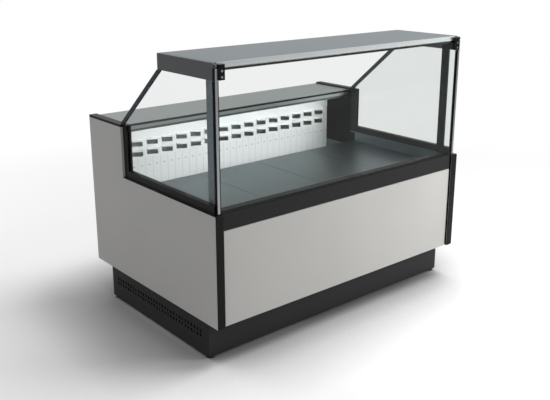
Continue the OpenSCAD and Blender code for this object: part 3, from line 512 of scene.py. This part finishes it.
def round_edges(piece, width, segments=2):
    """Rounds all the edges of a piece."""
    pick(piece, lambda middle, normal: True)
    bpy.ops.mesh.bevel(offset=width, segments=segments, affect="EDGES", clamp_overlap=True)
    leave()
    return piece


def join(pieces, name):
    """Joins pieces into one and names it."""
    clear_selection()
    for piece in pieces:
        piece.select_set(True)
    bpy.context.view_layer.objects.active = pieces[0]
    bpy.ops.object.join()
    pieces[0].name = name
    pieces[0].data.name = name
    return pieces[0]


def copy_to(piece, name, step):
    """Copies a piece with its own mesh and moves the copy."""
    only(piece)
    bpy.ops.object.duplicate()
    bpy.ops.transform.translate(value=step)
    return begin(name)


def turn_copy(piece, name, angle, axis, centre):
    """Copies a piece with its own mesh and turns the copy about a point."""
    only(piece)
    bpy.ops.object.duplicate()
    bpy.ops.transform.rotate(value=angle, orient_axis=axis, center_override=centre)
    return begin(name)


def apply_modifier(piece, kind, **settings):
    """Adds a modifier and applies it."""
    only(piece)
    modifier = piece.modifiers.new(kind.lower(), kind)
    for name, value in settings.items():
        setattr(modifier, name, value)
    bpy.ops.object.modifier_apply(modifier=modifier.name)


def repeat(piece, count, step):
    """Repeats the shape of a piece in a row, within its own mesh."""
    apply_modifier(piece, "ARRAY", count=count, use_relative_offset=False, use_constant_offset=True,
                   constant_offset_displace=step)


def settle(piece, material, body, slot, *replaced):
    """Finishes a piece: smooth shading, material, body and the solids it stands for. The slot argument is not
    used.
    """
    only(piece)
    bpy.ops.object.shade_smooth_by_angle(angle=math.radians(35))
    piece.data.materials.clear()
    piece.data.materials.append(FINISHES[material])
    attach(piece, body)
    if replaced:
        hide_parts(*replaced)
    clear_selection()


def cap_screw(name, foot, out, radius, height):
    """A cap screw's head with a rounded rim and a socket, standing on a point."""
    top = Vector(foot) + out * height
    head = rod(name, foot, top, radius, 24)
    pick(head, facing(out))
    bpy.ops.mesh.bevel(offset=radius * 0.16, segments=2, affect="EDGES")
    leave()
    pick(head, lambda middle, normal: normal.dot(out) > 0.99 and (middle - top).length < radius * 0.3)
    bpy.ops.mesh.inset(thickness=radius * 0.38)
    bpy.ops.mesh.extrude_region_move(TRANSFORM_OT_translate={"value": out * -height * 0.45})
    leave()
    return head


# Studio

def place_camera(scene):
    """Stands the camera where the photograph was taken from."""
    bpy.ops.object.camera_add(location=(-2.485, -2.919, 1.711))
    camera = bpy.context.active_object
    camera.name = "photo_camera"
    look_down, turn_right = 16.04, 40.09
    camera.rotation_euler = (math.radians(90 - look_down), 0, math.radians(-turn_right))
    camera.data.sensor_width = 36
    camera.data.lens = 50.66
    camera.data.shift_y = -0.05
    scene.camera = camera


def hang_softboxes():
    """Hangs the lamps, which neither mirrors nor glass show."""
    for name, place, target, size, power in SOFTBOXES:
        bpy.ops.object.light_add(type="AREA", location=place)
        lamp = bpy.context.active_object
        lamp.name = name
        lamp.data.size = size
        lamp.data.energy = power
        lamp.visible_glossy = False
        lamp.visible_transmission = False
        lamp.rotation_euler = (Vector(place) - Vector(target)).to_track_quat("Z", "Y").to_euler()


def seen_directly(tree):
    """Gives the light path, and where a ray comes straight from the camera or through glass."""
    path = add(tree, "ShaderNodeLightPath")
    seen = add(tree, "ShaderNodeMath",
               {0: path.outputs["Is Camera Ray"], 1: path.outputs["Is Transmission Ray"]},
               operation="MAXIMUM")
    return path, seen.outputs[0]


def make_world(scene):
    """A world that is white behind the counter, and dimmer in reflections and as a light."""
    world = bpy.data.worlds.new("white_studio")
    scene.world = world
    world.use_nodes = True
    tree = world.node_tree
    path, seen = seen_directly(tree)
    soft = tree.nodes["Background"]
    soft.inputs["Color"].default_value = WHITE
    soft.inputs["Strength"].default_value = 0.36
    glossy = add(tree, "ShaderNodeBackground", {"Color": WHITE, "Strength": 0.6})
    white = add(tree, "ShaderNodeBackground", {"Color": WHITE, "Strength": 1.0})
    unseen = add(tree, "ShaderNodeMixShader",
                 {0: path.outputs["Is Glossy Ray"], 1: soft.outputs[0], 2: glossy.outputs[0]})
    add(tree, "ShaderNodeMixShader", {0: seen, 1: unseen.outputs[0], 2: white.outputs[0]},
        {0: tree.nodes["World Output"].inputs["Surface"]})


def lay_floor():
    """A pale floor that takes the counter's shadow, with a painted shadow close to the plinth, and fades to
    white away from it.
    """
    bpy.ops.mesh.primitive_plane_add(size=60, location=(0, 0, 0))
    floor = bpy.context.active_object
    floor.name = "studio_floor"
    material, tree, shader, place = finish("pale_studio_floor", 0.9)
    shader.inputs["Specular IOR Level"].default_value = 0.0
    # A painted shadow: the floor's colour darkens close to the plinth, as in the photograph
    painted_contact_shadow = add(tree, "ShaderNodeAmbientOcclusion", {"Distance": 0.5})
    add(tree, "ShaderNodeMapRange", {0: painted_contact_shadow.outputs["AO"], 1: 0.3, 3: 0.2, 4: 0.92},
        {0: shader.inputs["Base Color"]})
    away = add(tree, "ShaderNodeVectorMath", {0: place}, operation="LENGTH")
    far = add(tree, "ShaderNodeMapRange", {0: away.outputs["Value"], 1: 1.6, 2: 3.6})
    glow = add(tree, "ShaderNodeEmission", {"Color": WHITE, "Strength": 1.0})
    pale = add(tree, "ShaderNodeMixShader", {0: far.outputs[0], 1: shader.outputs[0], 2: glow.outputs[0]})
    # Away from the camera's own rays the floor is darker, so that it doesn't light the object from below
    dim = add(tree, "ShaderNodeBsdfDiffuse", {"Color": (0.4, 0.4, 0.4, 1)})
    _, seen = seen_directly(tree)
    add(tree, "ShaderNodeMixShader", {0: seen, 1: dim.outputs[0], 2: pale.outputs[0]},
        {0: tree.nodes["Material Output"].inputs["Surface"]})
    floor.data.materials.append(material)


class COUNTER_OT_stage(bpy.types.Operator):
    """Sets up the camera, the pale floor and the soft studio light"""
    bl_idname = "counter.stage"
    bl_label = "Studio"

    def execute(self, context):
        context.scene.view_settings.view_transform = "Standard"
        clear_selection()
        place_camera(context.scene)
        hang_softboxes()
        make_world(context.scene)
        clear_selection()
        lay_floor()
        return {"FINISHED"}


class COUNTER_OT_body(bpy.types.Operator):
    """Finishes the end panels, edging, front panel, bumper, plinth and service panel"""
    bl_idname = "counter.body"
    bl_label = "Body panels"

    def execute(self, context):
        edge = context.scene.counter_sizes.panel_edge
        coat("end", "end_panel_left", "end_panel_right")
        coat("edging", "end_edging_left", "end_edging_right", "shelf_front_rail")
        coat("front", "front_panel", "rear_panel")
        coat("bumper", "bumper")
        coat("plinth", "plinth_front_panel", "plinth_left_panel", "plinth_right_panel",
             "plinth_rear_panel", "service_grille")
        soften(edge, "end_panel_left", "end_panel_right", "end_edging_left", "end_edging_right",
               "front_panel")
        soften(edge / 2, "bumper", "plinth_front_panel", "plinth_left_panel", "plinth_right_panel",
               "plinth_rear_panel", "service_grille", "shelf_front_rail")
        return {"FINISHED"}


class COUNTER_OT_glass_house(bpy.types.Operator):
    """Finishes the glass, posts, sloping frames, brackets and shelf"""
    bl_idname = "counter.glass_house"
    bl_label = "Glass and shelf"

    def execute(self, context):
        edge = context.scene.counter_sizes.panel_edge
        coat("glass", "side_glass_left", "side_glass_right", "front_pane")
        coat("post", "post_left", "post_right", "slope_frame_left", "slope_frame_right")
        coat("bracket", "shelf_bracket_left", "shelf_bracket_right")
        coat("shelf", "shelf")
        soften(edge, "post_left", "post_right", "shelf_bracket_left", "shelf_bracket_right", "shelf")
        soften(edge / 3, "slope_frame_left", "slope_frame_right")
        return {"FINISHED"}


class COUNTER_OT_front_glass(bpy.types.Operator):
    """Finishes the lift-up glass's profiles and clamps and adds its rubber seals and clamp screws"""
    bl_idname = "counter.front_glass"
    bl_label = "Front glass"

    def execute(self, context):
        sizes = context.scene.counter_sizes
        coat("profile", "pane_profiles")
        coat("clamp", "hinge_clamp_left", "hinge_clamp_right")
        soften(sizes.fitting_edge * 2, "hinge_clamp_left", "hinge_clamp_right")
        soften(sizes.fitting_edge, "pane_profiles")
        low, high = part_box("pane_profiles")
        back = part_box("front_pane")[1][1]
        # A side seal is a flange on the glass with a raised lip, and ends just below the clamp
        seal_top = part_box("hinge_clamp_left")[0][2] - 0.004
        inset, flange, lip, lip_edge = 0.0118, 0.0025, 0.0035, 0.001
        for side, name in ((-1, "pane_seal_left"), (1, "pane_seal_right")):
            outer = side * (high[0] - inset)
            inner = outer - side * sizes.seal_width
            seal = block(name, (min(outer, inner), back, low[2]),
                         (max(outer, inner), back + flange, seal_top))
            press(seal, REAR, flange, REAR * lip, lip_edge)
            settle(seal, "seal", "front_glass", "clamp_black")
        # The lower seal is a channel that takes the glass's edge
        half, setback = high[0] - 0.013, 0.0008
        wall, web, channel = 0.001, 0.0012, 0.008
        seal = block("pane_seal_bottom", (-half, low[1] + setback, low[2] - web),
                     (half, high[1] - setback, low[2] + channel))
        press(seal, UP, wall, DOWN * channel)
        settle(seal, "seal", "front_glass", "clamp_black")
        # Each clamp has two screws above each other, let 1 mm into it
        middle, lower, step, let_in = 0.732, 0.012, 0.024, 0.001
        for side, node in ((-1, "hinge_clamp_left"), (1, "hinge_clamp_right")):
            _, face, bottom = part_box(node)[0]
            foot = (side * middle, face + let_in, bottom + lower)
            head = cap_screw("clamp_screw", foot, FRONT, radius=0.005, height=0.0035)
            pair = [head, copy_to(head, "clamp_screw_upper", UP * step)]
            settle(join(pair, node + "_screws"), "screw", "front_glass", "zinc_screw")
        return {"FINISHED"}


class COUNTER_OT_deck(bpy.types.Operator):
    """Finishes the deck plates, their supports, the air grille, the linings and the tub"""
    bl_idname = "counter.deck"
    bl_label = "Deck"

    def execute(self, context):
        plates = ["deck_plate_%d" % i for i in (1, 2, 3, 4)]
        coat("deck", "return_grille", "side_liner_left", "side_liner_right", *plates)
        coat("zinc", "deck_supports", "evaporator_fan_plate")
        coat("skin", "insulated_tub")
        soften(context.scene.counter_sizes.fitting_edge, *plates)
        return {"FINISHED"}


class COUNTER_OT_worktop(bpy.types.Operator):
    """Finishes the worktop and adds the light under it and the dark strip in its nose"""
    bl_idname = "counter.worktop"
    bl_label = "Worktop and light"

    def execute(self, context):
        coat("worktop", "worktop")
        soften(context.scene.counter_sizes.fitting_edge * 2, "worktop")
        low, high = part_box("worktop_light")
        # A channel with a shield towards the customer, open below and to the wall
        wall, shield, cavity, rear_lift = 0.0035, 0.002, 0.0135, 0.012
        housing = block("light_housing", (low[0] - wall, low[1] - wall, low[2] - shield),
                        (high[0] + wall, high[1] + wall, high[2]))
        press(housing, DOWN, wall, UP * cavity)
        pick(housing, lambda middle, normal: normal[2] < -0.9 and middle[1] > high[1])
        bpy.ops.transform.translate(value=UP * rear_lift)
        leave()
        # The lens slopes up to the rear, so that it lights the wall more than what lies under it
        lens_top, rear_share = high[2] - 0.0006, 0.1
        lens = block("worktop_light_lens", low, (high[0], high[1], lens_top))
        slope(lens, REAR, rear_share, (0, high[1], lens_top))
        round_edges(lens, 0.0004)
        settle(lens, "opal", "cabinet", "led_white", "worktop_light")
        settle(housing, "profile_dark", "cabinet", "light_aluminium")
        low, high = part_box("worktop")
        end_gap, proud, sunk, rim, hollow = 0.004, 0.0015, 0.0005, 0.003, 0.001
        strip_top, strip_height = high[2] - 0.0035, 0.01
        strip = block("worktop_edge_strip", (low[0] + end_gap, low[1] - proud, strip_top - strip_height),
                      (high[0] - end_gap, low[1] + sunk, strip_top))
        press(strip, FRONT, rim, REAR * hollow)
        settle(strip, "seal", "cabinet", "black_plastic")
        return {"FINISHED"}


class COUNTER_OT_air_wall(bpy.types.Operator):
    """Finishes the slotted wall and adds the pressed louvres of its slots"""
    bl_idname = "counter.air_wall"
    bl_label = "Rear wall"

    def execute(self, context):
        coat("wall", "slotted_rear_wall")
        reach = context.scene.counter_sizes.louvre_reach
        sheet, overlap, flare = 0.002, 0.001, 2.4
        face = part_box("slotted_rear_wall")[1][1] - sheet
        left = -SLOT_PITCH * (SLOT_COLUMNS - 1) / 2 - SLOT_WIDTH / 2
        right = left + SLOT_WIDTH
        bottom, top = SLOT_BOTTOM - overlap, SLOT_TOP + overlap
        # A hood that comes down at its right end, over a scoop that comes up at its left end
        hood_height, scoop_height = 0.006, 0.005
        hood = block("air_louvres", (left, face - reach, top - hood_height), (right, face + overlap, top))
        slope(hood, RIGHT, flare, (right, face, top))
        # The hood's top leans back to the wall
        rim, lean = 0.0004, 0.45
        pick(hood, facing(UP))
        bpy.ops.mesh.inset(thickness=rim)
        bpy.ops.transform.translate(value=REAR * reach * lean)
        leave()
        scoop_front, scoop_back = face + 0.0004, face + 0.003
        scoop = block("air_scoop", (left, scoop_front, bottom), (right, scoop_back, bottom + scoop_height))
        slope(scoop, LEFT, flare, (left, face, bottom))
        louvres = join([hood, scoop], "air_louvres")
        repeat(louvres, SLOT_COLUMNS, RIGHT * SLOT_PITCH)
        repeat(louvres, SLOT_ROWS, UP * SLOT_ROW_PITCH)
        settle(louvres, "wall", "cabinet", "white_steel")
        return {"FINISHED"}


class COUNTER_OT_drain(bpy.types.Operator):
    """Finishes the tub's drain and adds its strainer"""
    bl_idname = "counter.drain"
    bl_label = "Drain"

    def execute(self, context):
        coat("white_pipe", "drain_pipe")
        low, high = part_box("drain_pipe")
        middle = (low + high) / 2
        # A disc with a ring of blind, wedge-shaped openings, let a little into the pipe's flange
        disc, let_in, bar, opening = 0.002, 0.0002, 0.0011, 0.0015
        clear_selection()
        bpy.ops.mesh.primitive_cylinder_add(
            vertices=20, radius=0.026, depth=disc, end_fill_type="TRIFAN",
            location=(middle[0], middle[1], high[2] + disc / 2 - let_in))
        strainer = begin("drain_strainer")
        pick(strainer, facing(UP))
        bpy.ops.mesh.inset(thickness=bar, use_individual=True)
        bpy.ops.mesh.extrude_region_move(TRANSFORM_OT_translate={"value": DOWN * opening})
        leave()
        settle(strainer, "deck", "cabinet", "brushed_stainless")
        return {"FINISHED"}


def fin_pack(name, low, high, sizes):
    """A pack of thin fins, each with a pressed rim, between two corners."""
    gap, sheet, rim = sizes.fin_gap, sizes.fin_sheet, 0.004
    fin = block(name, low, (low[0] + sheet, high[1], high[2]))
    press(fin, RIGHT, rim, RIGHT * sheet * 0.6)
    count = int((high[0] - low[0] - sheet * 2) / gap) + 1
    repeat(fin, count, RIGHT * gap)
    return fin


def rotor(node, shaft_length, shaft_radius, hub_radius, blade_radius, chord, sheet):
    """A fan of twisted blades on a domed hub, in the place of its plain solid."""
    name = node + "_rotor"
    low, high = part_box(node)
    x, _, z = PIVOTS[node]
    start, end = low[1] + shaft_length, high[1]
    centre = (x, (start + end) / 2, z)
    hub = rod(name + "_hub", (x, start, z), (x, end, z), hub_radius, 40)
    pick(hub, facing(REAR))
    bpy.ops.mesh.bevel(offset=hub_radius * 0.22, segments=3, affect="EDGES")
    leave()
    pick(hub, lambda middle, normal: normal[1] > 0.99)
    bpy.ops.mesh.inset(thickness=hub_radius * 0.3)
    bpy.ops.mesh.extrude_region_move(TRANSFORM_OT_translate={"value": FRONT * hub_radius * 0.15})
    leave()
    shaft = rod(name + "_shaft", (x, low[1], z), (x, start + 0.002, z), shaft_radius, 20)
    round_edges(shaft, shaft_radius * 0.12, 1)
    root = hub_radius - 0.002
    taper, twist, pitch, count = 0.35, math.radians(20), math.radians(122), 5
    clear_selection()
    bpy.ops.mesh.primitive_grid_add(x_subdivisions=8, y_subdivisions=4, size=1, location=(0, 0, 0))
    bpy.context.active_object.scale = (blade_radius - root, chord, 1)
    blade = begin(name + "_blade")
    apply_modifier(blade, "SIMPLE_DEFORM", deform_method="TAPER", deform_axis="X", factor=taper)
    apply_modifier(blade, "SIMPLE_DEFORM", deform_method="TWIST", deform_axis="X", angle=twist)
    apply_modifier(blade, "SOLIDIFY", thickness=sheet, offset=0)
    blade.rotation_euler = (pitch, 0, 0)
    blade.location = (x + (blade_radius + root) / 2, centre[1], z)
    only(blade)
    begin(name + "_blade")
    copies = [turn_copy(blade, "%s_blade_%d" % (name, i), math.radians(360 / count * i), "Y", centre)
              for i in range(1, count)]
    return join([hub, shaft, blade] + copies, name)


class COUNTER_OT_cooling(bpy.types.Operator):
    """Finishes the cooling unit and adds its thin fins, fans and compressor fittings"""
    bl_idname = "counter.cooling"
    bl_label = "Cooling unit"

    def execute(self, context):
        sizes = context.scene.counter_sizes
        coat("fin", "evaporator", "condenser")
        coat("black_abs", "evaporator_fan_motors", "condenser_fan_motor")
        coat("enamel", "compressor")
        coat("copper", "refrigerant_pipes")
        end_plate, setback, foot, core_depth = 0.004, 0.001, 0.011, 0.058
        low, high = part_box("evaporator")
        pack = fin_pack("evaporator_fins", (low[0] + end_plate, low[1] + setback, low[2] + foot),
                        (high[0] - end_plate, high[1] - setback, high[2] - setback), sizes)
        settle(pack, "fin", "cabinet", "fin_aluminium")
        low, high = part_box("condenser")
        pack = fin_pack("condenser_fins", (low[0] + end_plate, high[1] - core_depth, low[2] + end_plate),
                        (high[0] - end_plate, high[1] - setback, high[2] - end_plate), sizes)
        settle(pack, "fin", "cabinet", "fin_aluminium")
        for name in ("evaporator_fan_left", "evaporator_fan_right"):
            fan = rotor(name, shaft_length=0.020, shaft_radius=0.003, hub_radius=0.016,
                        blade_radius=0.0495, chord=0.020, sheet=sizes.blade_sheet)
            settle(fan, "grey_abs", name, "grey_plastic", name)
        fan = rotor("condenser_fan", shaft_length=0.022, shaft_radius=0.004, hub_radius=0.024,
                    blade_radius=0.096, chord=0.030, sheet=sizes.blade_sheet)
        settle(fan, "fin", "condenser_fan", "fin_aluminium", "condenser_fan")
        low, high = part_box("compressor")
        x, y, _ = (low + high) / 2
        # The weld seam runs round the shell; its sides are drawn taller
        ring = (x, y, low[2] + 0.085)
        clear_selection()
        bpy.ops.mesh.primitive_torus_add(
            major_radius=0.075, minor_radius=0.003, major_segments=64, minor_segments=10, location=ring)
        seam = begin("compressor_seam")
        pick(seam, lambda middle, normal: abs(normal[2]) < 0.4)
        bpy.ops.transform.resize(value=(1, 1, 1.5), center_override=ring)
        leave()
        settle(seam, "enamel", "cabinet", "compressor_black")
        half_width, stands_out, sinks_in = 0.03, 0.011, 0.007
        cover_bottom, cover_top = low[2] + 0.058, low[2] + 0.113
        cover = block("compressor_terminal_cover", (x - half_width, low[1] - stands_out, cover_bottom),
                      (x + half_width, low[1] + sinks_in, cover_top))
        press(cover, FRONT, 0.006, FRONT * 0.003)
        round_edges(cover, 0.0012)
        settle(cover, "black_abs", "cabinet", "black_plastic")
        return {"FINISHED"}


class COUNTER_OT_base(bpy.types.Operator):
    """Finishes the base frame and the levelling feet"""
    bl_idname = "counter.base"
    bl_label = "Base"

    def execute(self, context):
        coat("zinc", "base_frame")
        coat("foot", "foot_front_left", "foot_front_right", "foot_rear_left", "foot_rear_right")
        return {"FINISHED"}


class COUNTER_OT_service(bpy.types.Operator):
    """Finishes the service side and adds its bead, display window, button arrows and screws"""
    bl_idname = "counter.service"
    bl_label = "Service side"

    def execute(self, context):
        edge = context.scene.counter_sizes.fitting_edge
        coat("black_abs", "power_inlet", "control_panel")
        coat("grey_abs", "button_up", "button_down")
        coat("green_abs", "light_switch")
        soften(edge, "control_panel", "light_switch", "button_up", "button_down", "power_inlet")
        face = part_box("rear_panel")[1][1]
        # A raised bead with sloping flanks runs round a flat field
        half, bottom, top, stands_out, sinks_in = 0.69, 0.425, 0.84, 0.0022, 0.001
        flank, crown, rise, fall = 0.004, 0.012, 0.0008, 0.0026
        bead = block("rear_panel_bead", (-half, face - sinks_in, bottom), (half, face + stands_out, top))
        pick(bead, facing(REAR))
        bpy.ops.mesh.inset(thickness=flank)
        bpy.ops.transform.translate(value=REAR * rise)
        bpy.ops.mesh.inset(thickness=crown)
        bpy.ops.mesh.inset(thickness=flank)
        bpy.ops.transform.translate(value=FRONT * fall)
        leave()
        settle(bead, "front", "cabinet", "front_grey")
        low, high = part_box("control_panel")
        left, right, bottom, top = low[0] + 0.012, low[0] + 0.058, low[2] + 0.028, low[2] + 0.052
        window = block("control_display", (left, high[1] - 0.0012, bottom), (right, high[1] - 0.0002, top))
        rim, sunk = 0.002, 0.0003
        press(window, REAR, rim, FRONT * sunk)
        settle(window, "lens", "cabinet", "black_plastic")
        for name, turn in (("button_up", 0), ("button_down", 180)):
            low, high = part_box(name)
            middle = (low + high) / 2
            clear_selection()
            bpy.ops.mesh.primitive_cylinder_add(
                vertices=3, radius=0.003, depth=0.0008,
                location=(middle[0], high[1] + 0.0002, middle[2]),
                rotation=(math.radians(-90), math.radians(turn), 0))
            arrow = round_edges(begin(name + "_arrow"), 0.0002, 1)
            settle(arrow, "black_abs", name, "black_plastic")
        # The first screw is the lower left one, seen from the front
        first, length = Vector((-0.72, face, 0.390)), 0.024
        columns, column_step, rows, row_step = 3, 0.72, 2, 0.482
        head = cap_screw("rear_screw_heads", first, REAR, radius=0.005, height=0.003)
        shank = rod("rear_screw_shank", first + FRONT * length, first + REAR * 0.001, 0.002, 12)
        round_edges(shank, 0.0004, 1)
        screws = join([head, shank], "rear_screw_heads")
        repeat(screws, columns, RIGHT * column_step)
        repeat(screws, rows, UP * row_step)
        settle(screws, "screw", "cabinet", "zinc_screw", "rear_panel_screws")
        return {"FINISHED"}


STEPS = (COUNTER_OT_stage, COUNTER_OT_body, COUNTER_OT_glass_house, COUNTER_OT_front_glass,
         COUNTER_OT_deck, COUNTER_OT_worktop, COUNTER_OT_air_wall, COUNTER_OT_drain, COUNTER_OT_cooling,
         COUNTER_OT_base, COUNTER_OT_service)


class COUNTER_PT_sidebar(bpy.types.Panel):
    """Lists the steps that dress the counter, and its colours and sizes"""
    bl_idname = "COUNTER_PT_sidebar"
    bl_label = "Display counter"
    bl_space_type = "VIEW_3D"
    bl_region_type = "UI"
    bl_category = "Counter"

    def draw(self, context):
        for step in STEPS:
            self.layout.operator(step.bl_idname)
        for group in (context.scene.counter_colours, context.scene.counter_sizes):
            for name in group.__annotations__:
                self.layout.prop(group, name)


CLASSES = (CounterColours, CounterSizes) + STEPS + (COUNTER_PT_sidebar,)


def register():
    """Registers the classes and gives the scene their settings."""
    for each in CLASSES:
        bpy.utils.register_class(each)
    bpy.types.Scene.counter_colours = bpy.props.PointerProperty(type=CounterColours)
    bpy.types.Scene.counter_sizes = bpy.props.PointerProperty(type=CounterSizes)


def unregister():
    """Takes the settings and the classes away again."""
    del bpy.types.Scene.counter_sizes
    del bpy.types.Scene.counter_colours
    for each in reversed(CLASSES):
        bpy.utils.unregister_class(each)


def main():
    """Dresses the counter step by step."""
    register()
    make_finishes(bpy.context.scene.counter_colours)
    bpy.ops.counter.stage()
    bpy.ops.counter.body()
    bpy.ops.counter.glass_house()
    bpy.ops.counter.front_glass()
    bpy.ops.counter.deck()
    bpy.ops.counter.worktop()
    bpy.ops.counter.air_wall()
    bpy.ops.counter.drain()
    bpy.ops.counter.cooling()
    bpy.ops.counter.base()
    bpy.ops.counter.service()


if __name__ == "__main__":
    main()
